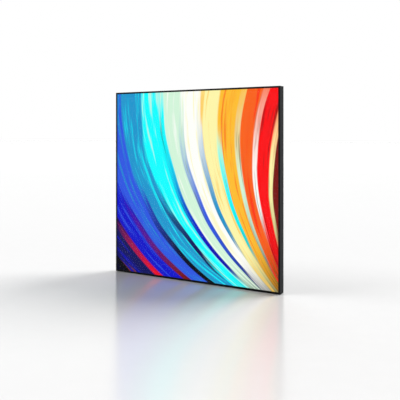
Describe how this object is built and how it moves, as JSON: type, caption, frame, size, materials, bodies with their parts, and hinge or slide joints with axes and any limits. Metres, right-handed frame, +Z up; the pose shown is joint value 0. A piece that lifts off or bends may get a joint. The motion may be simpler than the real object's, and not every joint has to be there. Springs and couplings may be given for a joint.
{
  "type": "led panel light",
  "caption": "Slim square picture-front LED light panel that stands upright on folding rear feet, with a dimmer box and a mounting plate on its back.",
  "frame": {"origin": "centre of the footprint on the floor, which runs from the panel's front face to the tips of the unfolded rear feet", "axes": "+X to the right as seen from the front, +Y to the back, +Z up"},
  "size_m": [0.6, 0.1568, 0.6013],
  "materials": {
    "frame_coat": "satin",
    "clear_acrylic": "gloss",
    "printed_film": "satin",
    "opal_sheet": "matte",
    "white_foam": "matte",
    "zinc_plated": "satin",
    "black_sheet": "satin",
    "black_steel": "satin",
    "black_screw": "satin",
    "black_plastic": "satin",
    "circuit_board": "satin",
    "white_board": "satin",
    "bare_aluminium": "satin",
    "copper_winding": "satin",
    "rubber": "matte",
    "lead_sleeve": "satin"
  },
  "bodies": {
    "panel": {"frame_rail_bottom": "frame_coat", "frame_rail_right": "frame_coat", "frame_rail_top": "frame_coat", "frame_rail_left": "frame_coat", "corner_key_bottom_left": "zinc_plated", "corner_key_bottom_right": "zinc_plated", "corner_key_top_left": "zinc_plated", "corner_key_top_right": "zinc_plated", "back_screw_bottom_1": "black_screw", "back_screw_bottom_2": "black_screw", "back_screw_right_1": "black_screw", "back_screw_right_2": "black_screw", "back_screw_top_1": "black_screw", "back_screw_top_2": "black_screw", "back_screw_left_1": "black_screw", "back_screw_left_2": "black_screw", "front_cover": "clear_acrylic", "picture_film": "printed_film", "diffuser_sheet": "opal_sheet", "light_guide": "clear_acrylic", "reflector_sheet": "opal_sheet", "foam_backing": "white_foam", "led_strip_bottom": "white_board", "led_strip_top": "white_board", "back_plate": "black_sheet", "mount_plate": "black_steel", "base_pad_left": "rubber", "base_pad_right": "rubber", "control_box_body": "black_sheet", "control_box_lid": "black_sheet", "lid_screw_1": "black_screw", "lid_screw_2": "black_screw", "lid_screw_3": "black_screw", "lid_screw_4": "black_screw", "driver_board": "circuit_board", "lead_header": "white_board", "capacitor": "black_plastic", "inductor": "copper_winding", "heat_sink": "bare_aluminium", "power_socket": "black_plastic", "brightness_potentiometer": "zinc_plated", "colour_potentiometer": "zinc_plated", "switch_housing": "black_plastic", "led_lead_bottom": "lead_sleeve", "led_lead_top": "lead_sleeve", "power_lead": "lead_sleeve", "switch_lead": "lead_sleeve", "foot_bracket_left": "black_steel", "foot_bracket_right": "black_steel", "foot_pin_left": "bare_aluminium", "foot_pin_right": "bare_aluminium"},
    "foot_left": {"foot_arm_left": "black_steel", "foot_pad_left": "rubber"},
    "foot_right": {"foot_arm_right": "black_steel", "foot_pad_right": "rubber"},
    "brightness_dial": {"brightness_shaft": "bare_aluminium", "brightness_knob": "black_plastic"},
    "colour_dial": {"colour_shaft": "bare_aluminium", "colour_knob": "black_plastic"},
    "switch": {"switch_rocker": "black_plastic"}
  },
  "joints": [
    {"name": "foot_left_fold", "type": "hinge", "parent": "panel", "child": "foot_left", "pos_m": [-0.15, -0.04565, 0.035], "axis": [0, 0, 1], "range_deg": [0, 90]},
    {"name": "foot_right_fold", "type": "hinge", "parent": "panel", "child": "foot_right", "pos_m": [0.15, -0.04565, 0.035], "axis": [0, 0, -1], "range_deg": [0, 90]},
    {"name": "brightness_turn", "type": "hinge", "parent": "panel", "child": "brightness_dial", "pos_m": [-0.018, -0.02305, 0.098], "axis": [0, -1, 0], "range_deg": [-150, 150]},
    {"name": "colour_turn", "type": "hinge", "parent": "panel", "child": "colour_dial", "pos_m": [0.016, -0.02305, 0.098], "axis": [0, -1, 0], "range_deg": [-150, 150]},
    {"name": "switch_rock", "type": "hinge", "parent": "panel", "child": "switch", "pos_m": [0.048, -0.02925, 0.098], "axis": [-1, 0, 0], "range_deg": [0, 18]}
  ]
}
